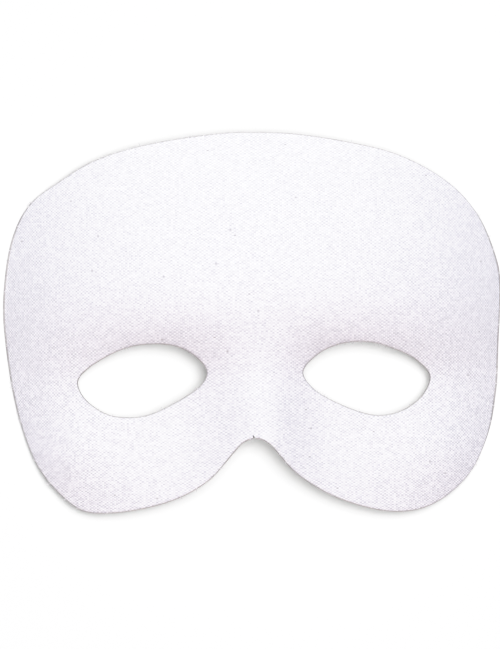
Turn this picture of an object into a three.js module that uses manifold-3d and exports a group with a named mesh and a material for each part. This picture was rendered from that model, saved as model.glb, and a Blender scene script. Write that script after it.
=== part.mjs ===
// Half mask: one shell of stiffened cotton cloth, pressed over a form and trimmed by hand.
// Millimetres. The mask lies face up on the rims of its two sides.
// X runs across the face, Y from the nose notch up to the forehead, Z out of the face.
// The origin is in the resting plane, under the middle of the mask.

import * as THREE from 'three';
import { mergeVertices } from 'three/addons/utils/BufferGeometryUtils.js';
import Module from 'manifold-3d';

const wasm = await Module();
wasm.setup();

// Driving dimensions
const WALL = 1.5;
const HALF_WIDTH = 81;

// Heights of the pressed form above the resting plane, and how far each shape reaches
const CROWN = { height: 40.5, y: -2, foreheadFall: 14, foreheadReach: 55, lowerFall: 12, lowerReach: 70 };
const SIDE_FALL = { round: 19.8, turn: 20 };
const SOCKET = { x: 28, y: -21, depth: 11.5, inner: 22, outer: 38, above: 15.5, below: 29.5 };
const SOCKET_BLEND = { x: 10, y: 8 };
const NOSE = { x: 2, rise: 8, top: -1, bottom: -46, topWidth: 7, bottomWidth: 14, widest: 1.6 };
const CHEEK = { x: 62, y: -43, rise: 3, reach: 14 };
const BROW = { y: 10, rise: 1.4, reach: 13, width: 70 };

// The trimmed edge, clockwise from the middle of the forehead, as it lies seen from above
const TRIMMED_EDGE = [
  [0, 61.3], [12.8, 60.8], [31, 58], [47.7, 53.8], [64.4, 44.8], [73.6, 35.2], [79, 23.4],
  [81.1, 14.3], [80.4, -5.3], [79.4, -22.9], [76.3, -38.2], [69.5, -50.5], [57.4, -59.3],
  [45, -61.3], [26, -56.2], [12.9, -47.9], [3.8, -38], [0, -36.6], [-3.9, -37.8], [-15.4, -50.3],
  [-27, -56.7], [-45.4, -60.7], [-56, -60.1], [-64.8, -53.4], [-70.9, -45.3], [-76.6, -30.3],
  [-80.7, -6.5], [-81.2, 9.6], [-77.8, 29.6], [-72.2, 39.6], [-62.1, 46.7], [-51.9, 52.5],
  [-36.6, 57.2], [-9.7, 61.1],
];
const NOTCH_TOP = 17;

// The eye holes, cut by hand and so not quite each other's mirror image
const EYE_CENTRE = { x: 36.4, y: -18.3 };
const RIGHT_EYE_EDGE = [
  [18, -20.8], [27.4, -26.7], [39.9, -30.5], [48.8, -28.5], [55, -23.6], [57.1, -17.7],
  [52.3, -12.3], [45.8, -9], [38.1, -6.6], [29.2, -6.5], [21.1, -9.5], [15.3, -15.7],
];
const LEFT_EYE_EDGE = [
  [-16.9, -19.7], [-28.9, -27.4], [-36.9, -30.1], [-47.2, -29.4], [-55.1, -24], [-57.3, -19],
  [-56, -16.1], [-46.1, -9.5], [-36.7, -6.6], [-24.8, -7.2], [-17.5, -11.7], [-15.2, -15.7],
];

// How finely the shell is divided
const EDGE_STEPS = 54;
const CENTRE_STEPS = 16;
const RINGS = 10;
const CURVE_STEPS = 900;

const cotton = new THREE.MeshStandardMaterial({ color: 0xf0eef4, roughness: 0.92, metalness: 0 });

// A bell of height 1 that has died away a few reaches from its middle
function bell(distance, reach) {
  return Math.exp(-((distance / reach) ** 2));
}

// Runs from one value to another as the offset passes zero, over a distance of about two blends
function blend(before, after, offset, softness) {
  return before + (after - before) * (0.5 + 0.5 * Math.tanh(offset / softness));
}

function socketDepth(x, y, side) {
  const across = side * x - SOCKET.x;
  const up = y - SOCKET.y;
  const reachAcross = blend(SOCKET.inner, SOCKET.outer, across, SOCKET_BLEND.x);
  const reachUp = blend(SOCKET.below, SOCKET.above, up, SOCKET_BLEND.y);
  return SOCKET.depth * bell(across, reachAcross) * bell(up, reachUp);
}

function noseRise(x, y) {
  const run = (NOSE.top - y) / (NOSE.top - NOSE.bottom);
  const width = NOSE.topWidth + (NOSE.bottomWidth - NOSE.topWidth) * THREE.MathUtils.clamp(run, 0, NOSE.widest);
  return NOSE.rise * THREE.MathUtils.smoothstep(run, 0, 1) * bell(x - NOSE.x, width);
}

function cheekRise(x, y, side) {
  return CHEEK.rise * bell(side * x - CHEEK.x, CHEEK.reach) * bell(y - CHEEK.y, CHEEK.reach);
}

// Height of the outer face of the shell over the resting plane
function faceHeight(x, y) {
  const above = Math.max(y - CROWN.y, 0) / CROWN.foreheadReach;
  const below = Math.max(CROWN.y - y, 0) / CROWN.lowerReach;
  const crown = CROWN.height - CROWN.foreheadFall * above ** 2 - CROWN.lowerFall * below ** 2;
  const across = x / HALF_WIDTH;
  const sides = SIDE_FALL.round * across ** 2 + SIDE_FALL.turn * across ** 4;
  const brow = BROW.rise * bell(y - BROW.y, BROW.reach) * bell(x, BROW.width);
  const sockets = socketDepth(x, y, 1) + socketDepth(x, y, -1);
  const cheeks = cheekRise(x, y, 1) + cheekRise(x, y, -1);
  return crown - sides + brow - sockets + noseRise(x, y) + cheeks;
}

// The point of the outer face over (x, y), and the point of the inner face straight behind it
function facePoints(x, y) {
  const step = 0.05;
  const slopeX = (faceHeight(x + step, y) - faceHeight(x - step, y)) / (2 * step);
  const slopeY = (faceHeight(x, y + step) - faceHeight(x, y - step)) / (2 * step);
  const normal = new THREE.Vector3(-slopeX, -slopeY, 1).normalize();
  const outer = new THREE.Vector3(x, y, faceHeight(x, y));
  const inner = outer.clone().addScaledVector(normal, -WALL);
  return { outer, inner };
}

function closedCurve(places) {
  const points = places.map(([x, y]) => new THREE.Vector3(x, y, 0));
  return new THREE.CatmullRomCurve3(points, true, 'centripetal');
}

// Points evenly spaced along a chain of points, both ends included
function spaced(chain, steps) {
  const reached = [0];
  for (let i = 1; i < chain.length; i += 1) {
    reached.push(reached[i - 1] + chain[i].distanceTo(chain[i - 1]));
  }
  const total = reached[reached.length - 1];
  const points = [];
  let i = 1;
  for (let step = 0; step <= steps; step += 1) {
    const wanted = (total * step) / steps;
    while (i < chain.length - 1 && reached[i] < wanted) {
      i += 1;
    }
    const share = (wanted - reached[i - 1]) / (reached[i] - reached[i - 1]);
    points.push(chain[i - 1].clone().lerp(chain[i], share));
  }
  return points;
}

// One half of the trimmed edge, from the forehead round the side to the notch
function halfEdge(side) {
  const curve = closedCurve(TRIMMED_EDGE);
  const notch = NOTCH_TOP / TRIMMED_EDGE.length;
  const chain = [];
  for (let i = 0; i <= CURVE_STEPS; i += 1) {
    const share = i / CURVE_STEPS;
    const along = side > 0 ? notch * share : 1 - (1 - notch) * share;
    chain.push(curve.getPoint(along));
  }
  return spaced(chain, EDGE_STEPS);
}

// The middle line from the notch back up to the forehead, shared by both halves
function centreLine() {
  const notch = new THREE.Vector3(0, TRIMMED_EDGE[NOTCH_TOP][1], 0);
  const forehead = new THREE.Vector3(0, TRIMMED_EDGE[0][1], 0);
  return spaced([notch, forehead], CENTRE_STEPS);
}

// Where the ray from the middle of the eye hole to a target crosses the edge of the hole
function eyeEdgeTowards(edge, centre, target) {
  const ray = target.clone().sub(centre);
  for (let i = 0; i < edge.length; i += 1) {
    const a = edge[i].clone().sub(centre);
    const b = edge[(i + 1) % edge.length].clone().sub(centre);
    const sideA = ray.x * a.y - ray.y * a.x;
    const sideB = ray.x * b.y - ray.y * b.x;
    if (sideA * sideB <= 0 && sideA !== sideB && a.dot(ray) > 0) {
      return a.lerp(b, sideA / (sideA - sideB)).add(centre);
    }
  }
  throw new Error('the eye hole does not surround its middle');
}

// Adds one half of the shell to the lists: rings of points from the eye hole out to the edge
function addHalf(side, positions, triangles) {
  const outward = [...halfEdge(side).slice(0, -1), ...centreLine().slice(0, -1)];
  const centre = new THREE.Vector3(side * EYE_CENTRE.x, EYE_CENTRE.y, 0);
  const eyePlaces = side > 0 ? RIGHT_EYE_EDGE : LEFT_EYE_EDGE;
  const eyeEdge = closedCurve(eyePlaces).getPoints(CURVE_STEPS).slice(0, -1);
  const first = positions.length / 3;
  const around = outward.length;
  for (const rimPoint of outward) {
    const eyePoint = eyeEdgeTowards(eyeEdge, centre, rimPoint);
    for (let ring = 0; ring <= RINGS; ring += 1) {
      const place = eyePoint.clone().lerp(rimPoint, ring / RINGS);
      const { outer, inner } = facePoints(place.x, place.y);
      positions.push(...outer.toArray(), ...inner.toArray());
    }
  }
  const outerAt = (i, ring) => first + 2 * ((i % around) * (RINGS + 1) + ring);
  const innerAt = (i, ring) => outerAt(i, ring) + 1;
  const addQuad = (a, b, c, d) => {
    triangles.push(...(side > 0 ? [a, b, c, a, c, d] : [a, c, b, a, d, c]));
  };
  for (let i = 0; i < around; i += 1) {
    for (let ring = 0; ring < RINGS; ring += 1) {
      addQuad(outerAt(i, ring), outerAt(i + 1, ring), outerAt(i + 1, ring + 1), outerAt(i, ring + 1));
      addQuad(innerAt(i, ring), innerAt(i, ring + 1), innerAt(i + 1, ring + 1), innerAt(i + 1, ring));
    }
    addQuad(outerAt(i + 1, 0), outerAt(i, 0), innerAt(i, 0), innerAt(i + 1, 0));
    if (i < EDGE_STEPS) {
      addQuad(outerAt(i, RINGS), outerAt(i + 1, RINGS), innerAt(i + 1, RINGS), innerAt(i, RINGS));
    }
  }
}

function pressedShell() {
  const positions = [];
  const triangles = [];
  addHalf(1, positions, triangles);
  addHalf(-1, positions, triangles);
  const geometry = new THREE.BufferGeometry();
  geometry.setAttribute('position', new THREE.Float32BufferAttribute(positions, 3));
  geometry.setIndex(triangles);
  return geometry;
}

function toSolid(geometry) {
  const bare = new THREE.BufferGeometry();
  bare.setAttribute('position', geometry.getAttribute('position').clone());
  bare.setIndex(geometry.getIndex());
  const merged = mergeVertices(bare);
  const vertProperties = new Float32Array(merged.getAttribute('position').array);
  const triVerts = new Uint32Array(merged.getIndex().array);
  return new wasm.Manifold(new wasm.Mesh({ numProp: 3, vertProperties, triVerts }));
}

function toGeometry(solid) {
  const mesh = solid.getMesh();
  const geometry = new THREE.BufferGeometry();
  geometry.setAttribute('position', new THREE.Float32BufferAttribute(mesh.vertProperties, 3));
  geometry.setIndex(new THREE.Uint32BufferAttribute(mesh.triVerts, 1));
  return geometry;
}

// Everything under the resting plane, which trims the two side rims flat
function belowTable() {
  const size = 4 * HALF_WIDTH;
  const block = new THREE.BoxGeometry(size, size, size);
  block.translate(0, 0, -size / 2);
  return block;
}

function halfMask() {
  const geometry = toGeometry(toSolid(pressedShell()).subtract(toSolid(belowTable())));
  geometry.computeBoundingBox();
  const middle = geometry.boundingBox.getCenter(new THREE.Vector3());
  geometry.translate(-middle.x, -middle.y, 0);
  geometry.computeVertexNormals();
  const mesh = new THREE.Mesh(geometry, cotton);
  mesh.name = 'half_mask';
  return mesh;
}

const mask = new THREE.Group();
mask.add(halfMask());

export default mask;
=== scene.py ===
"""A blank half mask of stiffened white cotton, lying face up on a pale studio table."""

import math
from types import SimpleNamespace

import bmesh
import bpy
from bpy.props import FloatProperty, FloatVectorProperty, IntProperty, PointerProperty
from mathutils import Matrix, Vector


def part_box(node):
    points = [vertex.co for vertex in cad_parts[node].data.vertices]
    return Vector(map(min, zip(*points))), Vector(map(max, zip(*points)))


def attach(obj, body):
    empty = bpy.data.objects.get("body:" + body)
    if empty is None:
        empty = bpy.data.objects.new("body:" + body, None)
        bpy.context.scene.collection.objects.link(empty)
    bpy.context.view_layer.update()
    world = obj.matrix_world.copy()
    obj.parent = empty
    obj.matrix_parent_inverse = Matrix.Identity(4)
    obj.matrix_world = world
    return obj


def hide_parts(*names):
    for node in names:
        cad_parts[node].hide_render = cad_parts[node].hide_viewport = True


bl_info = {
    "name": "Half Mask",
    "version": (1, 0, 0),
    "blender": (4, 5, 0),
    "location": "3D View > Sidebar > Half Mask",
    "description": "Builds a pressed cotton half mask around its solid, with its table, lights and camera",
    "category": "Object",
}

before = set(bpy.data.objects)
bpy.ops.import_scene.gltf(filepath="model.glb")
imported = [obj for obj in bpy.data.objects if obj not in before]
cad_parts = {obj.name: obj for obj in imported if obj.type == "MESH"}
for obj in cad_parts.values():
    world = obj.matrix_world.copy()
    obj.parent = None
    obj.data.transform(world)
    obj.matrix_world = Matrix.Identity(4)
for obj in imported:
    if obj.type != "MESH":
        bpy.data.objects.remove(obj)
SOLID = "half_mask"
SOLID_LOW, SOLID_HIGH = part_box(SOLID)
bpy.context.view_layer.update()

MM = 0.001
BODY = "root"
THREADS = "threads"
RIM_GAP = "rim_gap"
FACING = "facing"
LAYER = "layer"
AWAY = "away"
FRAYED = "frayed"
OUTER_FACE, INNER_FACE, CUT_FACE = 0.0, 1.0, 2.0

# The trimmed edge in mm, clockwise from the middle of the forehead, as it lies seen from above
TRIMMED_EDGE = [
    (0, 61.3), (12.8, 60.8), (31, 58), (47.7, 53.8), (64.4, 44.8), (73.6, 35.2), (79, 23.4),
    (81.1, 14.3), (80.4, -5.3), (79.4, -22.9), (76.3, -38.2), (69.5, -50.5), (57.4, -59.3),
    (45, -61.3), (26, -56.2), (12.9, -47.9), (3.8, -38), (0, -36.6), (-3.9, -37.8), (-15.4, -50.3),
    (-27, -56.7), (-45.4, -60.7), (-56, -60.1), (-64.8, -53.4), (-70.9, -45.3), (-76.6, -30.3),
    (-80.7, -6.5), (-81.2, 9.6), (-77.8, 29.6), (-72.2, 39.6), (-62.1, 46.7), (-51.9, 52.5),
    (-36.6, 57.2), (-9.7, 61.1),
]
NOTCH_TOP = 17

# The eye holes in mm, cut by hand and so not quite each other's mirror image
EYE_CENTRE = (36.4, -18.3)
RIGHT_EYE_EDGE = [
    (18, -20.8), (27.4, -26.7), (39.9, -30.5), (48.8, -28.5), (55, -23.6), (57.1, -17.7),
    (52.3, -12.3), (45.8, -9), (38.1, -6.6), (29.2, -6.5), (21.1, -9.5), (15.3, -15.7),
]
LEFT_EYE_EDGE = [
    (-16.9, -19.7), (-28.9, -27.4), (-36.9, -30.1), (-47.2, -29.4), (-55.1, -24), (-57.3, -19),
    (-56, -16.1), (-46.1, -9.5), (-36.7, -6.6), (-24.8, -7.2), (-17.5, -11.7), (-15.2, -15.7),
]

# Where the cut edges have frayed most, in mm, how far to each side, and the chance of a thread there
FRAYED_PLACES = [
    (-81, -8, 2), (-79.5, -20, 3), (33, -6.4, 9), (22, -23.2, 3), (-1, -36.8, 1.5), (79, 23, 1.5),
]
FRAYED_CHANCE = 0.5

# How far a thread end leans down for each step that it leans out
FRAY_DROOP = 0.05

# A loose thread's bend, in shares of its length: along, aside and up at its start, middle and end
THREAD_BEND = [(-0.15, 0.0, 0.0), (0.45, -0.12, 0.12), (1.0, 0.22, 0.05)]
THREAD_STEPS = 5
THREAD_SIDES = 5

# How much of a loose thread's thickness is gone at its tip
THREAD_TAPER = 0.7

# How loose threads are turned about their three axes and scaled along them: the least and the most
FRAY_TURN = ((-3.1, -0.2, -0.9), (3.1, 0.7, 0.9))
FRAY_SCALE = ((0.3, 0.5, 0.5), (1.0, 1.0, 1.0))
LINT_TURN = ((-0.1, -0.05, -3.1), (0.1, 0.05, 3.1))
LINT_SCALE = ((0.25, 0.25, 0.6), (1.0, 1.0, 1.0))

# How deep in the wall a thread end starts, as a share of the wall
THREAD_ROOT = 0.15

# The height under which a cut edge counts as resting on the table
RESTING = 5 * MM

# What both kinds of loose thread are grown with
LOOSE_INPUTS = ("Thread Length", "Thread Thickness", "Seed")

# The least height of a loose thread over the table
THREAD_CLEARANCE = 0.02 * MM

# Steps of the flat blank along a trimmed edge and down the middle line, and its rings in between
EDGE_STEPS = 300
CENTRE_STEPS = 100
RINGS = 38

# How far the two rings closest to a cut edge lie from it
RIM_RINGS = (0.12 * MM, 0.35 * MM)

# Points of the blank that are closer than this are one point
SAME_PLACE = 0.001 * MM

# How gradually a socket's reach changes from its one side to its other, across and up the face
SOCKET_BLEND = (10 * MM, 8 * MM)

# How far from a cut edge the cloth has begun to round over
ROLL_REACH = 0.22 * MM

# The least level part of a normal that an edge is swelled along
LEAST_LEVEL = 0.05

# How far down the nose ridge goes on widening, as a share of its run
NOSE_WIDEST = 1.6

# The noises that make the face uneven: how fine each is, and its share
UNEVENNESS = ((38.0, 1.0), (150.0, 0.22))

# How much longer the pressed cloth is than its plan: two terms across the face and one up it
LENGTH_ACROSS = (0.029, 0.139)
LENGTH_UP = 0.667

# Where the low-corner contrast is reached in full, across and up the face
LOW_CORNER = (80 * MM, -45 * MM)

# A woven thread's height: the share of its waves over and under, and of its own round shape
THREAD_WAVE = 0.45
THREAD_ROUND = 0.55

# How far the woven threads stray from a straight line
THREAD_WANDER = 1.2 * MM

# The share of the crossings with a pinhole, and how much darker a pinhole and a speck are
PINHOLE_SHARE = 0.015
PINHOLE_DARK = 0.35
SPECK_DARK = 0.7

# How far the cloth along an edge has taken the raw edge's colour, as wear and as painted edge shade
WORN_AND_SHADE_SHARE = 0.6

# The relief of a loose fibre's surface
FIBRE_RELIEF = 0.02 * MM

# How fine each noise in the surfaces is
SOAK_NOISE = 55.0
WANDER_NOISE = 90.0
PATCH_NOISE = 160.0
LUMP_NOISE = 220.0
GLOSS_NOISE = 400.0
STREAK_NOISE = 700.0
RAGGED_NOISE = 900.0
LAYER_NOISE = 1800.0
FUZZ_NOISE = 9000.0

# The height of the blade that cuts the snip
BLADE_HEIGHT = 20 * MM

# Edges that bend more than this stay sharp
SHARP_EDGE = math.radians(50)

# The reach of the table top to each side, in metres
TABLE_REACH = 4.0

# The width of the camera's sensor, in mm
SENSOR_WIDTH = 36.0

# Where the camera aims, across and up its picture, from the middle of the form
CAMERA_AIM = (-0.80 * MM, -0.57 * MM)

# The light that prints as pure white, and the tones of the lights below it
WHITE_LEVEL = 1.2
TONES = [(0.41, 0.41), (0.82, 0.82), (0.92, 0.899), (1.0, 0.939), (1.08, 0.967), (1.14, 0.988)]

CLOTH_PIECES = "cloth_pieces"
TABLE_TOP = "table_top"

# Each round softbox: where it stands, how wide it is and what it lights
SOFTBOXES = [
    ("table", (0.042, 0.036, 1.2), 0.32, TABLE_TOP),
    ("overhead", (0.0, 0.0, 1.6), 2.4, CLOTH_PIECES),
    ("top", (0.0, 1.1, 1.2), 0.7, CLOTH_PIECES),
    ("left", (-1.2, 0.1, 0.45), 0.5, CLOTH_PIECES),
    ("right", (1.2, 0.1, 0.45), 0.5, CLOTH_PIECES),
    ("low", (0.0, -1.2, 0.5), 0.5, CLOTH_PIECES),
]


def length(name, description, millimetres):
    """A size that the user can change, stored in metres."""
    return FloatProperty(
        name=name, description=description, default=millimetres * MM, unit="LENGTH", precision=5
    )


def colour(name, description, red_green_blue):
    """A colour that the user can change."""
    return FloatVectorProperty(
        name=name, description=description, subtype="COLOR", size=3, min=0, max=1, default=red_green_blue
    )


def share(name, description, part):
    """A share between nothing and all, which the user can change."""
    return FloatProperty(name=name, description=description, default=part, min=0, max=1, subtype="FACTOR")


def angle(name, description, degrees):
    """An angle that the user can change, stored in radians."""
    return FloatProperty(name=name, description=description, default=math.radians(degrees), subtype="ANGLE")


def power(name, description, watts):
    """The strength of a softbox, in watts."""
    return FloatProperty(name=name, description=description, default=watts, min=0, unit="POWER")


class PressedForm(bpy.types.PropertyGroup):
    """The heights of the pressed form above the table, and how far each shape reaches."""

    left_half_width: length("Left Half Width", "Width over which the left side falls", 81)
    right_half_width: length("Right Half Width", "Width over which the right side falls", 81.8)
    crown_height: length("Crown Height", "Height of the middle line at its highest", 40.5)
    crown_line: length("Crown Line", "Where the middle line is highest, up the face", -2)
    forehead_fall: length("Forehead Fall", "How far the forehead falls back over its reach", 14)
    forehead_reach: length("Forehead Reach", "Distance over which the forehead falls back", 55)
    lower_fall: length("Lower Fall", "How far the lower half falls back over its reach", 12)
    lower_reach: length("Lower Reach", "Distance over which the lower half falls back", 70)
    side_round: length("Side Round", "Even rounding of the sides at the half width", 19.8)
    side_turn: length("Side Turn", "Further turn of the sides near the half width", 20)
    socket_x: length("Socket Across", "Distance of each eye socket from the middle line", 28)
    socket_y: length("Socket Up", "Height of the eye sockets along the face", -21)
    socket_depth: length("Socket Depth", "Depth of the eye sockets", 11.5)
    left_socket_inner: length("Left Socket Inner", "Reach of the left socket to the nose", 23)
    right_socket_inner: length("Right Socket Inner", "Reach of the right socket to the nose", 20.5)
    right_socket_outer: length("Right Socket Outer", "Reach of the right socket to its temple", 43)
    left_socket_outer: length("Left Socket Outer", "Reach of the left socket to its temple", 34)
    socket_above: length("Socket Above", "Reach of a socket to the forehead", 15.5)
    socket_below: length("Socket Below", "Reach of a socket to the cheek", 29.5)
    nose_x: length("Nose Across", "Offset of the nose ridge from the middle line", 2)
    nose_rise: length("Nose Rise", "Height of the nose ridge over the face", 8)
    nose_top: length("Nose Top", "Where the nose ridge begins", -1)
    nose_bottom: length("Nose Bottom", "Where the nose ridge is highest", -46)
    nose_top_width: length("Nose Top Width", "Half width of the ridge where it begins", 7)
    nose_bottom_width: length("Nose Bottom Width", "Half width of the ridge where it is highest", 14)
    cheek_x: length("Cheek Across", "Distance of each cheek from the middle line", 62)
    cheek_y: length("Cheek Up", "Height of the cheeks along the face", -43)
    cheek_rise: length("Cheek Rise", "Fullness of the cheeks", 3)
    cheek_reach: length("Cheek Reach", "Reach of the cheeks", 14)
    brow_y: length("Brow Up", "Height of the brow along the face", 10)
    brow_rise: length("Brow Rise", "Fullness of the brow", 1.4)
    brow_reach: length("Brow Reach", "Reach of the brow up and down", 13)
    brow_width: length("Brow Width", "Reach of the brow to the sides", 70)
    wall: length("Wall", "Thickness of the shell", 1.5)
    edge_roll: length("Edge Roll", "How far the cloth rounds over at a cut edge", 0.14)
    edge_bead: length("Edge Bead", "How far the raw layers swell out halfway down", 0.3)
    edge_spread: length("Edge Spread", "How much further they spread where the edge rests", 0.3)
    edge_lift: length("Edge Lift", "Height of the outer cloth where its edge rests", 0.5)
    unevenness: length("Unevenness", "How far the hand-pressed face strays from the form", 0.16)
    snip_x: length("Snip Across", "Where the snip over the nose ends, across", -1.05)
    snip_y: length("Snip Up", "Where the snip over the nose ends, up the face", -35.6)
    snip_length: length("Snip Length", "Length of the snip, from outside the cloth", 2.6)
    snip_width: length("Snip Width", "Width of the snip at its open end", 1.6)
    snip_depth: length("Snip Depth", "How deep the snip goes into the layers of cloth", 0.9)
    snip_turn: angle("Snip Turn", "Direction of the snip, from its mouth inwards", 113)


class ClothFinish(bpy.types.PropertyGroup):
    """The weave, its colours with their painted sheen and shade, its edges greyed by wear and painted shade,
    and its loose threads.
    """

    warp_pitch: length("Warp Pitch", "Distance between threads that run up the face", 0.70)
    weft_pitch: length("Weft Pitch", "Distance between threads that run across it", 0.49)
    relief: length("Relief", "Height of a thread over the gap beside it", 0.10)
    thread_colour: colour("Thread Colour", "The palest threads of the cloth", (0.90, 0.89, 0.92))
    # The dark end of the weave: painted shade between the threads and under the lower crossings, and the
    # cloth's own random greys
    weave_grey_and_shade: colour("Gap Colour", "The gaps between the threads", (0.53, 0.52, 0.56))
    # The raw edge's own grey, darkened further as painted shade of the shadowed cut edge; specks and fibre
    # streaks take it too
    edge_grey_and_shade: colour("Edge Colour", "The raw cut edge", (0.36, 0.345, 0.345))
    back_colour: colour("Back Colour", "The sized cloth on the inside", (0.74, 0.735, 0.72))
    size_colour: colour("Size Colour", "Where the size has soaked into the inside", (0.62, 0.60, 0.56))
    fray_colour: colour("Fray Colour", "The thread ends along the cut edges", (0.84, 0.83, 0.85))
    lint_colour: colour("Lint Colour", "Loose fibres and specks on the face", (0.35, 0.34, 0.36))
    # Painted sheen: upright threads lighter where they lie on top
    crossing_sheen_contrast: share("Crossing Contrast", "How much paler the upright threads are on top", 0.38)
    # Painted shade in the gaps between the threads
    gap_shade_contrast: share("Gap Contrast", "How much darker the gaps are", 0.09)
    slub_contrast: share("Slub Contrast", "How much the crossings vary", 0.23)
    # Strengthens the weave pattern, its painted sheen and shade included, towards the lower corners
    low_corner_contrast: share("Low Corner Contrast", "How much more the weave shows at the low corners", 0.9)
    speck_share: share("Speck Share", "Share of the crossings that hold a dark speck", 0.0007)
    # Painted shade: a thin dark line along each cut edge, with a little wear in it
    worn_and_shaded_edge: length("Worn Edge", "How far from a cut edge the cloth has greyed", 0.12)
    # Painted contact shadow on the raw edge where it rests on the table
    resting_edge_shadow: share("Edge Dust", "How much greyer the raw edge is where it rests", 0.25)
    fray_share: share("Fray Share", "Chance of a thread end at each place", 0.05)
    fray_spacing: length("Fray Spacing", "Distance between places for a thread end", 0.5)
    fray_length: length("Fray Length", "Length of the longest thread end", 1.5)
    fray_thickness: length("Fray Thickness", "Thickness of a loose thread end", 0.42)
    lint_count: FloatProperty(name="Lint Density", description="Loose fibres on a square metre", default=5000)
    lint_length: length("Lint Length", "Length of the longest loose fibre on the face", 1.8)
    lint_thickness: length("Lint Thickness", "Thickness of a loose fibre on the face", 0.06)
    seed: IntProperty(name="Seed", description="Changes where the loose threads lie", default=7)


class StudioStage(bpy.types.PropertyGroup):
    """The camera over the table and the soft lights around it."""

    camera_distance: length("Camera Distance", "Distance of the camera from the mask", 1200)
    camera_yaw: angle("Camera Yaw", "Turn of the camera about the mask's upright axis", -1.0)
    camera_roll: angle("Camera Roll", "Turn of the camera about its own axis", -0.6)
    view_height: length("View Height", "Height of the view at the table", 213.4)
    floor_colour: colour("Floor Colour", "The table top", (0.93, 0.93, 0.93))
    table_power: power("Table Light", "Strength of the light on the table", 17.6)
    overhead_power: power("Overhead Light", "Strength of the wide softbox over the mask", 17.0)
    top_power: power("Top Light", "Strength of the softbox beyond the forehead", 24.6)
    left_power: power("Left Light", "Strength of the softbox on the left", 2.75)
    right_power: power("Right Light", "Strength of the softbox on the right", 2.4)
    low_power: power("Low Light", "Strength of the softbox below the cheeks", 7.2)
    table_tint: colour("Table Tint", "Colour of the table light", (1.0, 1.0, 1.0))
    overhead_tint: colour("Overhead Tint", "Colour of the overhead light", (0.98, 0.981, 1))
    top_tint: colour("Top Tint", "Colour of the top light", (0.983, 0.993, 1))
    left_tint: colour("Left Tint", "Colour of the left light", (0.844, 0.781, 1))
    right_tint: colour("Right Tint", "Colour of the right light", (0.781, 0.716, 1))
    low_tint: colour("Low Tint", "Colour of the low light", (1, 0.832, 0.837))
    room_light: FloatProperty(name="Room Light", description="Strength of the light all around", default=0.1)


def settings():
    """The form, the cloth and the stage, as the user has set them."""
    return [getattr(bpy.context.scene, name) for name in GROUPS]


class Term:
    """A number, a node or its output, so that a node formula can be written as a sum."""

    def __init__(self, tree, source):
        self.tree = tree
        self.source = source

    def math(self, operation, *others):
        """What an operation makes of this number and the others."""
        made = node(self.tree, "ShaderNodeMath", dict(enumerate((self, *others))), operation=operation)
        return Term(self.tree, made)

    def __add__(self, other):
        return self.math("ADD", other)

    def __sub__(self, other):
        return self.math("SUBTRACT", other)

    def __mul__(self, other):
        return self.math("MULTIPLY", other)

    def __truediv__(self, other):
        return self.math("DIVIDE", other)

    def __neg__(self):
        return self.math("MULTIPLY", -1.0)

    def squared(self):
        return self.math("MULTIPLY", self)

    def at_least(self, other):
        return self.math("MAXIMUM", other)

    def at_most(self, other):
        return self.math("MINIMUM", other)

    def bell(self, reach):
        """A bell of height 1 that has died away a few reaches from its middle."""
        return (-(self / reach).squared()).math("EXPONENT")

    def blend(self, before, after, softness):
        """Runs from one value to another as this value passes zero."""
        share = (self / softness).math("TANH") * 0.5 + 0.5
        return before + (after - before) * share

    def eased(self):
        """Eases from 0 to 1 while this value runs from 0 to 1."""
        share = self.at_least(0.0).at_most(1.0)
        return share * share * (share * -2.0 + 3.0)


def catmull_rom(points, index, share):
    """A point of the closed centripetal curve between points[index] and the next one."""
    p0, p1, p2, p3 = (points[(index + i) % len(points)] for i in (-1, 0, 1, 2))
    d0, d1, d2 = ((b - a).length ** 0.5 for a, b in ((p0, p1), (p1, p2), (p2, p3)))
    out = ((p1 - p0) / d0 - (p2 - p0) / (d0 + d1) + (p2 - p1) / d1) * d1
    back = ((p2 - p1) / d1 - (p3 - p1) / (d1 + d2) + (p3 - p2) / d2) * d1
    cubic = (p1 - p2) * 2 + out + back
    square = (p2 - p1) * 3 - out * 2 - back
    return p1 + out * share + square * share ** 2 + cubic * share ** 3


def curve_chain(places, first=0, last=None):
    """Closely spaced points along the closed curve through the places, or along a part of it."""
    points = [Vector(place) * MM for place in places]
    last = last or len(places)
    steps = 60
    chain = [catmull_rom(points, i, j / steps) for i in range(first, last) for j in range(steps)]
    return chain + [catmull_rom(points, last, 0)]


def spaced(chain, steps):
    """Points evenly spaced along a chain of points, both ends included."""
    reached = [0.0]
    for a, b in zip(chain, chain[1:]):
        reached.append(reached[-1] + (b - a).length)
    points = []
    i = 1
    for step in range(steps + 1):
        wanted = reached[-1] * step / steps
        while i < len(chain) - 1 and reached[i] < wanted:
            i += 1
        share = (wanted - reached[i - 1]) / (reached[i] - reached[i - 1])
        points.append(chain[i - 1].lerp(chain[i], share))
    return points


def crossing(edge, centre, target):
    """Where the ray from the middle of an eye hole to a target crosses the hole's edge."""
    ray = target - centre
    for a, b in zip(edge, edge[1:]):
        side_a = ray.cross(a - centre)
        side_b = ray.cross(b - centre)
        if side_a * side_b <= 0 and side_a != side_b and (a - centre).dot(ray) > 0:
            return a.lerp(b, side_a / (side_a - side_b))
    raise RuntimeError("the eye hole does not surround its middle")


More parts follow.
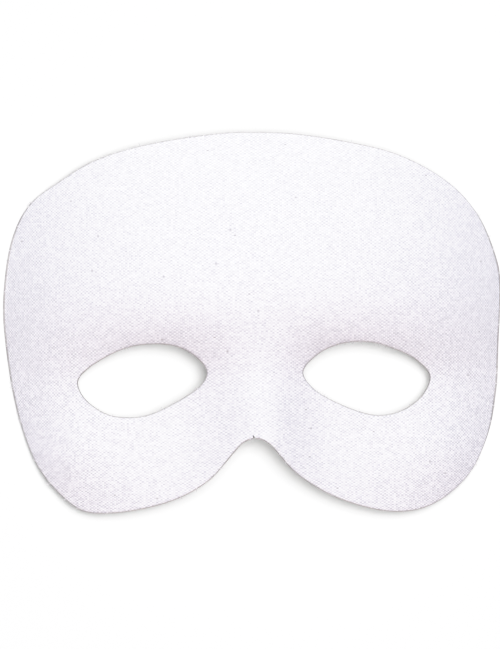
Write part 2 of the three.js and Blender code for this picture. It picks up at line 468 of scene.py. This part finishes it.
def flat_half(side, vertices, gaps, faces):
    """Adds one half of the flat blank: rings of points from the eye hole out to the trimmed edge."""
    if side > 0:
        edge = curve_chain(TRIMMED_EDGE, last=NOTCH_TOP)
    else:
        edge = curve_chain(TRIMMED_EDGE, NOTCH_TOP)[::-1]
    outward = spaced(edge, EDGE_STEPS)[:-1] + spaced([edge[-1], edge[0]], CENTRE_STEPS)[:-1]
    centre = Vector((side * EYE_CENTRE[0], EYE_CENTRE[1])) * MM
    eye_edge = curve_chain(RIGHT_EYE_EDGE if side > 0 else LEFT_EYE_EDGE)
    first = len(vertices)
    for i, rim_point in enumerate(outward):
        eye_point = crossing(eye_edge, centre, rim_point)
        run = (rim_point - eye_point).length
        near = [gap / run for gap in RIM_RINGS]
        even = [near[-1] + (1 - 2 * near[-1]) * ring / RINGS for ring in range(1, RINGS)]
        shares = [0, *near, *even, *(1 - share for share in reversed(near)), 1]
        on_edge = i <= EDGE_STEPS
        for share in shares:
            place = eye_point.lerp(rim_point, share)
            vertices.append((place.x, place.y, 0.0))
            gaps.append(run * (min(share, 1 - share) if on_edge else share))
    rings = len(shares)
    around = len(outward)
    for i in range(around):
        here = first + i * rings
        there = first + (i + 1) % around * rings
        for ring in range(rings - 1):
            face = (here + ring, there + ring, there + ring + 1, here + ring + 1)
            faces.append(face if side > 0 else face[::-1])


def flat_blank():
    """The flat cut-out that is pressed into the mask, with each point's distance to a cut edge."""
    vertices, gaps, faces = [], [], []
    flat_half(1, vertices, gaps, faces)
    flat_half(-1, vertices, gaps, faces)
    mesh = bpy.data.meshes.new("flat_blank")
    mesh.from_pydata(vertices, [], faces)
    mesh.attributes.new(RIM_GAP, "FLOAT", "POINT").data.foreach_set("value", gaps)
    cloth = bmesh.new()
    cloth.from_mesh(mesh)
    bmesh.ops.remove_doubles(cloth, verts=cloth.verts, dist=SAME_PLACE)
    cloth.to_mesh(mesh)
    cloth.free()
    return mesh


def rim_points(cloth):
    """Points along the cut edges, each with the way out of the cloth and the chance of a thread end."""
    points, away, frayed = [], [], []
    for places, side in ((TRIMMED_EDGE, 1), (RIGHT_EYE_EDGE, 1), (LEFT_EYE_EDGE, -1)):
        chain = curve_chain(places)
        run = sum((b - a).length for a, b in zip(chain, chain[1:]))
        along = spaced(chain, round(run / cloth.fray_spacing))
        for here, ahead in zip(along, along[1:]):
            step = (ahead - here).normalized() * side
            points.append((here.x, here.y, 0))
            away += [-step.y, step.x, -FRAY_DROOP]
            near = [(here - Vector(place) * MM).length / (reach * MM) for *place, reach in FRAYED_PLACES]
            frayed.append(cloth.fray_share + FRAYED_CHANCE * sum(math.exp(-gap * gap) for gap in near))
    mesh = bpy.data.meshes.new("rim_points")
    mesh.from_pydata(points, [], [])
    mesh.attributes.new(AWAY, "FLOAT_VECTOR", "POINT").data.foreach_set("vector", away)
    mesh.attributes.new(FRAYED, "FLOAT", "POINT").data.foreach_set("value", frayed)
    return mesh


def new_tree(name, inputs):
    """A geometry tree with a geometry going in and out, and one number for each named input."""
    tree = bpy.data.node_groups.new(name, "GeometryNodeTree")
    tree.interface.new_socket("Geometry", in_out="INPUT", socket_type="NodeSocketGeometry")
    for label in inputs:
        tree.interface.new_socket(label, in_out="INPUT", socket_type="NodeSocketFloat")
    tree.interface.new_socket("Geometry", in_out="OUTPUT", socket_type="NodeSocketGeometry")
    return tree, tree.nodes.new("NodeGroupInput")


def node(tree, kind, links=None, **values):
    """A new node with its settings, and each input set to a value or linked to what feeds it."""
    made = tree.nodes.new(kind)
    for key, value in values.items():
        setattr(made, key, value)
    for key, source in (links or {}).items():
        feed(tree, made.inputs[key], source)
    return made


def feed(tree, socket, source):
    """Links an input to a number, a node or its output, or sets it to a value."""
    if isinstance(source, Term):
        source = source.source
    if isinstance(source, bpy.types.Node):
        source = source.outputs[0]
    if isinstance(source, bpy.types.NodeSocket):
        tree.links.new(source, socket)
    else:
        socket.default_value = source


def split_vector(tree, vector):
    """The three parts of a vector."""
    parts = node(tree, "ShaderNodeSeparateXYZ", {"Vector": vector})
    return [Term(tree, parts.outputs[axis]) for axis in "XYZ"]


def make_vector(tree, x, y, z=0.0):
    """A vector of three numbers."""
    return node(tree, "ShaderNodeCombineXYZ", {"X": x, "Y": y, "Z": z})


def position(tree):
    """Where each point lies, as three numbers."""
    return split_vector(tree, node(tree, "GeometryNodeInputPosition"))


def moved(tree, geometry, place):
    """Geometry with each of its points at a new place."""
    return node(tree, "GeometryNodeSetPosition", {"Geometry": geometry, "Position": place})


def attribute(tree, name, kind="FLOAT"):
    """What a named attribute holds for each point or face."""
    return Term(tree, node(tree, "GeometryNodeInputNamedAttribute", {"Name": name}, data_type=kind))


def marked(tree, geometry, name, value, domain, chosen=True, kind="FLOAT"):
    """Geometry with a named attribute set on its chosen points, faces or corners."""
    return node(
        tree, "GeometryNodeStoreNamedAttribute",
        {"Geometry": geometry, "Selection": chosen, "Name": name, "Value": value},
        data_type=kind, domain=domain,
    )


def form_labels():
    """The label of each size of the pressed form, by its property."""
    return {key: PressedForm.bl_rna.properties[key].name for key in PressedForm.__annotations__}


def form_values(form):
    """Each size of the pressed form, by its label."""
    return {label: getattr(form, key) for key, label in form_labels().items()}


def form_tree(name, others=()):
    """A new tree that takes the sizes of the pressed form and some other numbers."""
    labels = form_labels()
    tree, entry = new_tree(name, [*labels.values(), *others])
    terms = {key: Term(tree, entry.outputs[label]) for key, label in labels.items()}
    return tree, entry, SimpleNamespace(**terms)


def side_share(x, size):
    """How far a place lies towards the end of its own side, from 0 at the middle line to 1."""
    return x.at_least(0.0) / size.right_half_width + x.at_most(0.0) / size.left_half_width


def form_height(x, y, size):
    """The height of the outer face over the table, as nodes."""
    above = (y - size.crown_line).at_least(0.0) / size.forehead_reach
    below = (size.crown_line - y).at_least(0.0) / size.lower_reach
    crown = size.crown_height - size.forehead_fall * above.squared()
    crown = crown - size.lower_fall * below.squared()
    across = side_share(x, size).squared()
    sides = size.side_round * across + size.side_turn * across.squared()
    brow = size.brow_rise * (y - size.brow_y).bell(size.brow_reach) * x.bell(size.brow_width)
    run = (size.nose_top - y) / (size.nose_top - size.nose_bottom)
    widen = size.nose_bottom_width - size.nose_top_width
    nose_width = size.nose_top_width + widen * run.at_least(0.0).at_most(NOSE_WIDEST)
    nose = size.nose_rise * run.eased() * (x - size.nose_x).bell(nose_width)
    height = crown - sides + brow + nose
    for side, name in ((1.0, "right"), (-1.0, "left")):
        beside = x * side - size.socket_x
        up = y - size.socket_y
        inner, outer = (getattr(size, f"{name}_socket_{end}") for end in ("inner", "outer"))
        reach_across = beside.blend(inner, outer, SOCKET_BLEND[0])
        reach_up = up.blend(size.socket_below, size.socket_above, SOCKET_BLEND[1])
        height = height - size.socket_depth * beside.bell(reach_across) * up.bell(reach_up)
        cheek = (x * side - size.cheek_x).bell(size.cheek_reach)
        height = height + size.cheek_rise * cheek * (y - size.cheek_y).bell(size.cheek_reach)
    return height


def thread_places(tree, x, y, size):
    """Distances along the pressed cloth, across and up, which the weave follows."""
    across = side_share(x, size).squared()
    along = x * (across * LENGTH_ACROSS[0] + across.squared() * LENGTH_ACROSS[1] + 1.0)
    bend = size.forehead_fall / size.forehead_reach.squared()
    up = y * ((y * bend).squared() * LENGTH_UP + 1.0)
    return make_vector(tree, along, up)


def snipped(tree, geometry, size):
    """Snips a small V into the upper layers of the edge over the nose."""
    prism = node(tree, "GeometryNodeMeshCylinder", {"Vertices": 3, "Radius": 1.0, "Depth": BLADE_HEIGHT})
    # The prism of radius 1 is 1.5 long and the square root of 3 wide
    long = size.snip_length / 1.5
    wide = size.snip_width / math.sqrt(3)
    centre_x = size.snip_x - size.snip_turn.math("COSINE") * long
    centre_y = size.snip_y - size.snip_turn.math("SINE") * long
    lowest = form_height(size.snip_x, size.snip_y, size) - size.snip_depth
    blade = node(tree, "GeometryNodeTransform", {
        "Geometry": prism,
        "Translation": make_vector(tree, centre_x, centre_y, lowest + BLADE_HEIGHT / 2),
        "Rotation": make_vector(tree, 0.0, 0.0, size.snip_turn),
        "Scale": make_vector(tree, long, wide, 1.0),
    })
    return node(
        tree, "GeometryNodeMeshBoolean",
        {"Mesh 1": geometry, "Mesh 2": marked(tree, blade, FACING, CUT_FACE, "FACE")},
        operation="DIFFERENCE", solver="MANIFOLD",
    )


def beaded_edge(tree, geometry, layer, size):
    """Swells a cut edge halfway down, so that its raw layers show all around from above."""
    x, y, z = split_vector(tree, node(tree, "GeometryNodeInputNormal"))
    level = (x.squared() + y.squared()).math("SQRT").at_least(LEAST_LEVEL)
    halfway = layer * (-layer + 1.0) * 4.0
    low = (position(tree)[2] / -RESTING + 1.0).at_least(0.0)
    swell = size.edge_bead + size.edge_spread * low - size.wall * z * 0.5
    push = swell.at_least(0.0) * halfway / level
    offset = make_vector(tree, x * push, y * push)
    return node(tree, "GeometryNodeSetPosition", {"Geometry": geometry, "Offset": offset})


def press_tree(outer_cloth, inner_cloth, cut_cloth):
    """Presses the flat blank to its form, gives it a wall and sets it down on the table."""
    tree, entry, size = form_tree("press_the_blank")
    x, y, _ = position(tree)
    roll = size.edge_roll * attribute(tree, RIM_GAP).bell(ROLL_REACH)
    height = form_height(x, y, size) - roll
    for scale, part in UNEVENNESS:
        noise = Term(tree, node(tree, "ShaderNodeTexNoise", {"Scale": scale, "Detail": 1.0}))
        height = height + size.unevenness * (noise - 0.5) * (2 * part)
    threads = thread_places(tree, x, y, size)
    mapped = marked(tree, entry.outputs["Geometry"], THREADS, threads, "CORNER", kind="FLOAT2")
    raised = moved(tree, mapped, make_vector(tree, x, y, height))
    outer = marked(tree, raised, FACING, OUTER_FACE, "FACE")
    outer = marked(tree, outer, LAYER, 1.0, "POINT")
    inner = outer
    chosen = True
    for layer in (0.5, 0.0):
        walled = node(
            tree, "GeometryNodeExtrudeMesh",
            {"Mesh": inner, "Selection": chosen, "Offset Scale": size.wall * -0.5, "Individual": False},
            mode="FACES",
        )
        chosen = walled.outputs["Top"]
        inner = marked(tree, walled.outputs["Mesh"], FACING, INNER_FACE, "FACE", chosen)
        inner = marked(tree, inner, FACING, CUT_FACE, "FACE", walled.outputs["Side"])
        inner = marked(tree, inner, LAYER, layer, "POINT", chosen)
    turned = node(tree, "GeometryNodeFlipFaces", {"Mesh": inner})
    both = node(tree, "GeometryNodeJoinGeometry", {0: outer})
    feed(tree, both.inputs[0], turned)
    joined = node(tree, "GeometryNodeMergeByDistance", {"Geometry": both, "Distance": SAME_PLACE})
    layer = attribute(tree, LAYER)
    beaded = beaded_edge(tree, joined, layer, size)
    x, y, z = position(tree)
    resting = moved(tree, beaded, make_vector(tree, x, y, z.at_least(layer * size.edge_lift)))
    shell = snipped(tree, resting, size)
    finish_tree(tree, shell, outer_cloth, {INNER_FACE: inner_cloth, CUT_FACE: cut_cloth})
    return tree


def loose_thread(tree, entry, material):
    """A short bent thread that starts at its own origin and runs along X, tapering to its tip."""
    long = Term(tree, entry.outputs["Thread Length"])
    thick = Term(tree, entry.outputs["Thread Thickness"])
    bend = {"Resolution": THREAD_STEPS}
    for socket, (along, aside, lift) in zip(("Start", "Middle", "End"), THREAD_BEND):
        bend[socket] = make_vector(tree, long * along, long * aside, long * lift)
    path = node(tree, "GeometryNodeCurveQuadraticBezier", bend)
    reached = Term(tree, node(tree, "GeometryNodeSplineParameter"))
    radius = thick * (reached * (-0.5 * THREAD_TAPER) + 0.5)
    tapered = node(tree, "GeometryNodeSetCurveRadius", {"Curve": path, "Radius": radius})
    ring = node(tree, "GeometryNodeCurvePrimitiveCircle", {"Resolution": THREAD_SIDES, "Radius": 1.0})
    tube = node(tree, "GeometryNodeCurveToMesh", {
        "Curve": tapered, "Profile Curve": ring,
        "Scale": node(tree, "GeometryNodeInputRadius"), "Fill Caps": True,
    })
    return dressed(tree, tube, material)


def random_between(tree, low, high, seed, kind="FLOAT_VECTOR"):
    """A vector or a number drawn for each point."""
    made = node(tree, "FunctionNodeRandomValue", {"Seed": seed}, data_type=kind)
    least, most = [socket for socket in made.inputs if socket.enabled][:2]
    least.default_value, most.default_value = low, high
    return next(socket for socket in made.outputs if socket.enabled)


def fray_tree(material):
    """Sets thread ends on the marked points of the cut edges, leaning away from the cloth."""
    tree, entry, size = form_tree("fray_the_edges", LOOSE_INPUTS)
    seed = Term(tree, entry.outputs["Seed"])
    x, y, _ = position(tree)
    height = (form_height(x, y, size) - size.wall * THREAD_ROOT).at_least(size.edge_lift)
    raised = moved(tree, entry.outputs["Geometry"], make_vector(tree, x, y, height))
    luck = Term(tree, random_between(tree, 0.0, 1.0, seed, "FLOAT"))
    away = attribute(tree, AWAY, "FLOAT_VECTOR")
    lean = node(tree, "FunctionNodeAlignRotationToVector", {"Vector": away}, axis="X")
    finish_loose_threads(
        tree, entry, material, raised, lean,
        random_between(tree, *FRAY_TURN, seed + 1.0),
        random_between(tree, *FRAY_SCALE, seed + 2.0),
        luck.math("LESS_THAN", attribute(tree, FRAYED)),
    )
    return tree


def lint_tree(material):
    """Scatters short fibres over the outer face, lying flat on the cloth."""
    tree, entry = new_tree("scatter_the_lint", ("Density", *LOOSE_INPUTS))
    seed = Term(tree, entry.outputs["Seed"])
    spots = node(tree, "GeometryNodeDistributePointsOnFaces", {
        "Mesh": entry.outputs["Geometry"], "Selection": attribute(tree, FACING).math("LESS_THAN", 0.5),
        "Density": entry.outputs["Density"], "Seed": seed,
    })
    finish_loose_threads(
        tree, entry, material, spots.outputs["Points"], spots.outputs["Rotation"],
        random_between(tree, *LINT_TURN, seed),
        random_between(tree, *LINT_SCALE, seed + 1.0),
    )
    return tree


def finish_loose_threads(tree, entry, material, points, lean, turn, scale, chosen=True):
    """Ends a tree in a loose thread on each chosen point, leaning, turned and scaled in its own way."""
    bent = node(
        tree, "FunctionNodeRotateRotation", {"Rotation": lean, "Rotate By": turn}, rotation_space="LOCAL"
    )
    copies = node(tree, "GeometryNodeInstanceOnPoints", {
        "Points": points, "Selection": chosen, "Instance": loose_thread(tree, entry, material),
        "Rotation": bent, "Scale": scale,
    })
    whole = node(tree, "GeometryNodeRealizeInstances", {"Geometry": copies})
    x, y, z = position(tree)
    resting = moved(tree, whole, make_vector(tree, x, y, z.at_least(THREAD_CLEARANCE)))
    finish_tree(tree, resting, material)


def dressed(tree, geometry, material, chosen=True):
    """Geometry with a material on its chosen faces."""
    links = {"Geometry": geometry, "Selection": chosen, "Material": material}
    return node(tree, "GeometryNodeSetMaterial", links)


def finish_tree(tree, geometry, material, others=None):
    """Ends a tree in smooth faces with sharp cut edges, whole geometry and its materials."""
    bend = Term(tree, node(tree, "GeometryNodeInputMeshEdgeAngle"))
    for smooth, domain in ((True, "FACE"), (bend.math("LESS_THAN", SHARP_EDGE), "EDGE")):
        links = {"Geometry": geometry, "Shade Smooth": smooth}
        geometry = node(tree, "GeometryNodeSetShadeSmooth", links, domain=domain)
    whole = node(tree, "GeometryNodeRealizeInstances", {"Geometry": geometry})
    result = dressed(tree, whole, material)
    for facing, other in (others or {}).items():
        result = dressed(tree, result, other, attribute(tree, FACING).math("COMPARE", facing, 0.5))
    node(tree, "NodeGroupOutput", {0: result})


def grown(name, mesh, tree, values):
    """Runs a tree on a mesh and returns the result as a plain mesh object."""
    piece = bpy.data.objects.new(name, mesh)
    bpy.context.scene.collection.objects.link(piece)
    modifier = piece.modifiers.new(tree.name, "NODES")
    modifier.node_group = tree
    for item in tree.interface.items_tree:
        if item.in_out == "INPUT" and item.name in values:
            modifier[item.identifier] = values[item.name]
    graph = bpy.context.evaluated_depsgraph_get()
    result = bpy.data.meshes.new_from_object(
        piece.evaluated_get(graph), preserve_all_data_layers=True, depsgraph=graph
    )
    piece.modifiers.clear()
    piece.data = result
    result.name = name
    return piece


def settle(piece):
    """Moves a piece from where its plan is drawn to the middle of the solid that it stands for."""
    across, along = ((min(places) + max(places)) / 2 for places in zip(*curve_chain(TRIMMED_EDGE)))
    middle = (SOLID_LOW + SOLID_HIGH) / 2
    piece.data.transform(Matrix.Translation((middle.x - across, middle.y - along, 0)))


def shader_tree(name, roughness, specular=0.5, sheen=0.0):
    """A new material, its tree and its principled shader."""
    material = bpy.data.materials.new(name)
    material.use_nodes = True
    shader = material.node_tree.nodes["Principled BSDF"]
    shader.inputs["Roughness"].default_value = roughness
    shader.inputs["Specular IOR Level"].default_value = specular
    shader.inputs["Sheen Weight"].default_value = sheen
    return material, material.node_tree, shader


def noise_at(tree, place, scale, detail=2.0):
    """Soft noise between 0 and 1 at a place."""
    links = {"Vector": place, "Scale": scale, "Detail": detail}
    return Term(tree, node(tree, "ShaderNodeTexNoise", links))


def mixed(tree, share, first, second):
    """A colour between two others, each a set colour or a node's."""
    links = {0: share}
    for index, given in ((6, first), (7, second)):
        links[index] = given if isinstance(given, bpy.types.NodeSocket) else (*given, 1.0)
    return node(tree, "ShaderNodeMix", links, data_type="RGBA").outputs[2]


def finish_shader(tree, shader, colour_there, height, relief, strength=1.0):
    """Gives a surface its colour and its fine relief."""
    bump = node(tree, "ShaderNodeBump", {"Strength": strength, "Distance": relief, "Height": height})
    feed(tree, shader.inputs["Base Color"], colour_there)
    feed(tree, shader.inputs["Normal"], bump)


def plain_weave(tree, cloth):
    """Where a place lies along the threads, their height, which is on top, and each crossing's chance."""
    threads = node(tree, "ShaderNodeUVMap", uv_map=THREADS)
    x, y, _ = split_vector(tree, threads)
    wander = (noise_at(tree, threads, WANDER_NOISE) - 0.5) * THREAD_WANDER
    across = (x + wander) / cloth.warp_pitch
    up = (y + wander) / cloth.weft_pitch
    warp_wave = (across * math.pi).math("SINE")
    weft_wave = (up * math.pi).math("SINE")
    warp = warp_wave.math("SIGN") * weft_wave * THREAD_WAVE + warp_wave.math("ABSOLUTE") * THREAD_ROUND
    weft = weft_wave.math("SIGN") * warp_wave * -THREAD_WAVE + weft_wave.math("ABSOLUTE") * THREAD_ROUND
    cell = make_vector(tree, across.math("FLOOR"), up.math("FLOOR"))
    luck = Term(tree, node(tree, "ShaderNodeTexWhiteNoise", {"Vector": cell}))
    return threads, warp.at_least(weft), warp_wave * weft_wave, luck


def woven_cotton(cloth):
    """White plain-woven cotton that follows the pressed cloth's own threads, with painted sheen and shade in
    its weave and painted shade along its cut edges.
    """
    material, tree, shader = shader_tree("woven_cotton", 0.9, specular=0.25, sheen=0.1)
    threads, height, on_top, luck = plain_weave(tree, cloth)
    slub = (luck - 0.5) * (2 * cloth.slub_contrast)
    pinhole = luck.math("GREATER_THAN", 1.0 - PINHOLE_SHARE) * PINHOLE_DARK
    speck = luck.math("GREATER_THAN", 1.0 - cloth.speck_share) * SPECK_DARK
    # Painted shade: darker where the threads lie low between their crowns
    gaps = (height - THREAD_ROUND) * (2 * cloth.gap_shade_contrast)
    aside, up, _ = split_vector(tree, threads)
    low_corner = (aside / LOW_CORNER[0]).squared() * (up / LOW_CORNER[1]).at_least(0.0)
    # Painted sheen on the crossings and painted gap shade, with random slubs and real pinholes
    pattern = on_top * cloth.crossing_sheen_contrast + gaps + slub - pinhole
    shade = (pattern * (low_corner * cloth.low_corner_contrast + 1.0) + 0.5).at_least(0.0).at_most(1.0)
    face = mixed(tree, shade, cloth.weave_grey_and_shade, cloth.thread_colour)
    gap = Term(tree, node(tree, "ShaderNodeAttribute", attribute_name=RIM_GAP).outputs["Fac"])
    ragged = noise_at(tree, threads, RAGGED_NOISE) + 0.5
    # Painted edge shade with some wear: the face takes the raw edge's grey close to a cut edge
    edge_wear_and_shade = (gap / ragged).bell(cloth.worn_and_shaded_edge) * WORN_AND_SHADE_SHARE
    colour_there = mixed(tree, edge_wear_and_shade.at_least(speck), face, cloth.edge_grey_and_shade)
    finish_shader(tree, shader, colour_there, height, cloth.relief)
    return material


def sized_lining(cloth):
    """The inside: the same cloth, flattened and blotched by the size that stiffens it."""
    material, tree, shader = shader_tree("sized_lining", 0.75, specular=0.4)
    threads, height, on_top, luck = plain_weave(tree, cloth)
    soaked = (noise_at(tree, threads, SOAK_NOISE, 5.0) * 3.0 - 1.0).at_least(0.0).at_most(1.0)
    blotched = mixed(tree, soaked * 0.8, cloth.back_colour, cloth.size_colour)
    # Painted sheen on the upper crossings and painted shade in the gaps, with random greys
    woven = (on_top * 0.12 + (luck - 0.5) * 0.2 - (height - THREAD_ROUND) * 0.3 + 0.15).at_least(0.0)
    lumps = noise_at(tree, threads, LUMP_NOISE, 3.0) * 1.5 + height * 0.6
    colour_there = mixed(tree, woven, blotched, cloth.weave_grey_and_shade)
    finish_shader(tree, shader, colour_there, lumps, cloth.relief)
    rough = soaked * -0.25 + noise_at(tree, threads, GLOSS_NOISE) * 0.15 + 0.75
    feed(tree, shader.inputs["Roughness"], rough)
    return material


def raw_edge(cloth):
    """The cut edge: pressed layers of cloth, fuzzy and grey, darkened further as painted shade of the edge
    line, with painted contact shadow where they rest.
    """
    material, tree, shader = shader_tree("raw_edge", 0.95, specular=0.2)
    place = node(tree, "ShaderNodeTexCoord").outputs["Object"]
    layers = noise_at(tree, place, LAYER_NOISE, 3.0)
    patches = noise_at(tree, place, PATCH_NOISE)
    # Painted contact shadow: the raw edge darker the lower it lies within the resting height
    contact_shadow = (split_vector(tree, place)[2] / -RESTING + 1.0).at_least(0.0) * cloth.resting_edge_shadow
    pale = (layers * 0.9 + patches * 0.5 - 0.35 - contact_shadow).at_least(0.0).at_most(1.0)
    colour_there = mixed(tree, pale, cloth.edge_grey_and_shade, cloth.back_colour)
    finish_shader(tree, shader, colour_there, layers, 2 * cloth.relief)
    return material


def loose_fibre(name, thread_colour, cloth):
    """Loose cotton fibres, streaked with the grey of the cut edge."""
    material, tree, shader = shader_tree(name, 0.8)
    place = node(tree, "ShaderNodeTexCoord").outputs["Object"]
    streaks = noise_at(tree, place, STREAK_NOISE) * 0.6
    colour_there = mixed(tree, streaks, thread_colour, cloth.edge_grey_and_shade)
    fuzz = noise_at(tree, place, FUZZ_NOISE)
    finish_shader(tree, shader, colour_there, fuzz, FIBRE_RELIEF, strength=0.5)
    return material


class HALFMASK_OT_stage(bpy.types.Operator):
    """Sets up the camera over the table, the table and the soft lights"""

    bl_idname = "half_mask.stage"
    bl_label = "Table, Lights and Camera"

    def execute(self, context):
        _, _, stage = settings()
        scene = context.scene
        self.add_camera(scene, stage)
        self.add_floor(scene, stage)
        self.add_lights(scene, stage)
        self.set_tones(scene.view_settings)
        return {"FINISHED"}

    def set_tones(self, view):
        """Eases the brightest tones towards white, as film does."""
        view.view_transform = "Standard"
        view.use_curve_mapping = True
        curves = view.curve_mapping
        curves.white_level = (WHITE_LEVEL, WHITE_LEVEL, WHITE_LEVEL)
        for light, tone in TONES:
            curves.curves[3].points.new(light / WHITE_LEVEL, tone)
        curves.update()

    def add_camera(self, scene, stage):
        """Looks straight down on the mask, from a little to one side."""
        data = bpy.data.cameras.new("camera")
        data.sensor_width = SENSOR_WIDTH
        data.lens = data.sensor_width * stage.camera_distance / stage.view_height
        camera = bpy.data.objects.new("camera", data)
        yaw, roll = stage.camera_yaw, stage.camera_roll
        back = Vector((math.sin(yaw), 0, math.cos(yaw)))
        level = Vector((math.cos(yaw), 0, -math.sin(yaw)))
        along = Vector((0, 1, 0))
        right = level * math.cos(roll) + along * math.sin(roll)
        up = along * math.cos(roll) - level * math.sin(roll)
        aim = right * CAMERA_AIM[0] + up * CAMERA_AIM[1]
        turn = Matrix((right, up, back)).transposed()
        camera.matrix_world = Matrix.Translation(aim + back * stage.camera_distance) @ turn.to_4x4()
        scene.collection.objects.link(camera)
        scene.camera = camera

    def add_floor(self, scene, stage):
        """Lays the plain matt table top under the mask."""
        material, _, shader = shader_tree("pale_table", 0.9)
        shader.inputs["Base Color"].default_value = (*stage.floor_colour, 1.0)
        mesh = bpy.data.meshes.new("table")
        corners = [(x * TABLE_REACH, y * TABLE_REACH, 0) for x, y in ((-1, -1), (1, -1), (1, 1), (-1, 1))]
        mesh.from_pydata(corners, [], [(0, 1, 2, 3)])
        mesh.materials.append(material)
        table = bpy.data.objects.new("table", mesh)
        scene.collection.objects.link(table)
        lit_pieces(TABLE_TOP).objects.link(table)

    def add_lights(self, scene, stage):
        """Hangs the softboxes in a dim, even room."""
        world = bpy.data.worlds.new("studio")
        world.use_nodes = True
        sky = world.node_tree.nodes["Background"]
        sky.inputs["Color"].default_value = (1.0, 1.0, 1.0, 1.0)
        sky.inputs["Strength"].default_value = stage.room_light
        scene.world = world
        for key, place, size, receivers in SOFTBOXES:
            data = bpy.data.lights.new(key + "_light", "AREA")
            data.shape = "DISK"
            data.size = size
            data.energy = getattr(stage, key + "_power")
            data.color = getattr(stage, key + "_tint")
            lamp = bpy.data.objects.new(data.name, data)
            lamp.location = place
            lamp.rotation_euler = (-Vector(place)).to_track_quat("-Z", "Y").to_euler()
            scene.collection.objects.link(lamp)
            lamp.light_linking.receiver_collection = lit_pieces(receivers)


def lit_pieces(name):
    """The collection of the pieces that a group of softboxes lights."""
    return bpy.data.collections.get(name) or bpy.data.collections.new(name)


class HALFMASK_OT_shell(bpy.types.Operator):
    """Presses the flat blank into the mask's shell"""

    bl_idname = "half_mask.shell"
    bl_label = "Pressed Shell"

    def execute(self, context):
        form, cloth, _ = settings()
        outer_cloth = woven_cotton(cloth)
        blank = flat_blank()
        blank.materials.append(outer_cloth)
        tree = press_tree(outer_cloth, sized_lining(cloth), raw_edge(cloth))
        shell = grown("mask_shell", blank, tree, form_values(form))
        settle(shell)
        add_to_mask(shell)
        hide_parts(SOLID)
        return {"FINISHED"}


def add_to_mask(piece):
    """Lets a finished piece ride with the mask, in its cloth and in its light."""
    lit_pieces(CLOTH_PIECES).objects.link(piece)
    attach(piece, BODY)


def loose_values(long, thick, cloth):
    """What a tree of loose threads is grown with."""
    return dict(zip(LOOSE_INPUTS, (long, thick, float(cloth.seed))))


class HALFMASK_OT_fray(bpy.types.Operator):
    """Frays the cut edges of the shell"""

    bl_idname = "half_mask.fray"
    bl_label = "Frayed Edges"

    def execute(self, context):
        form, cloth, _ = settings()
        values = form_values(form) | loose_values(cloth.fray_length, cloth.fray_thickness, cloth)
        material = loose_fibre("thread_ends", cloth.fray_colour, cloth)
        points = rim_points(cloth)
        points.materials.append(material)
        fray = grown("frayed_ends", points, fray_tree(material), values)
        settle(fray)
        add_to_mask(fray)
        return {"FINISHED"}


class HALFMASK_OT_lint(bpy.types.Operator):
    """Scatters a little lint over the shell"""

    bl_idname = "half_mask.lint"
    bl_label = "Lint"

    def execute(self, context):
        _, cloth, _ = settings()
        values = {"Density": cloth.lint_count} | loose_values(cloth.lint_length, cloth.lint_thickness, cloth)
        material = loose_fibre("lint_fibres", cloth.lint_colour, cloth)
        face = context.scene.objects["mask_shell"].data.copy()
        face.materials.clear()
        face.materials.append(material)
        lint = grown("face_lint", face, lint_tree(material), values)
        add_to_mask(lint)
        return {"FINISHED"}


class HALFMASK_PT_panel(bpy.types.Panel):
    """Lists the steps that build the mask, and their sizes"""

    bl_label = "Half Mask"
    bl_idname = "HALFMASK_PT_panel"
    bl_space_type = "VIEW_3D"
    bl_region_type = "UI"
    bl_category = "Half Mask"

    def draw(self, context):
        for step in STEPS:
            self.layout.operator(step.bl_idname)
        for group in settings():
            box = self.layout.box()
            for key in type(group).__annotations__:
                box.prop(group, key)


GROUPS = {"half_mask_form": PressedForm, "half_mask_cloth": ClothFinish, "half_mask_stage": StudioStage}
STEPS = (HALFMASK_OT_stage, HALFMASK_OT_shell, HALFMASK_OT_fray, HALFMASK_OT_lint)


def register():
    for kind in (*GROUPS.values(), *STEPS, HALFMASK_PT_panel):
        bpy.utils.register_class(kind)
    for name, kind in GROUPS.items():
        setattr(bpy.types.Scene, name, PointerProperty(type=kind))


def unregister():
    for name in GROUPS:
        delattr(bpy.types.Scene, name)
    for kind in reversed((*GROUPS.values(), *STEPS, HALFMASK_PT_panel)):
        bpy.utils.unregister_class(kind)


def main():
    register()
    bpy.ops.half_mask.stage()
    bpy.ops.half_mask.shell()
    bpy.ops.half_mask.fray()
    bpy.ops.half_mask.lint()


if __name__ == "__main__":
    main()
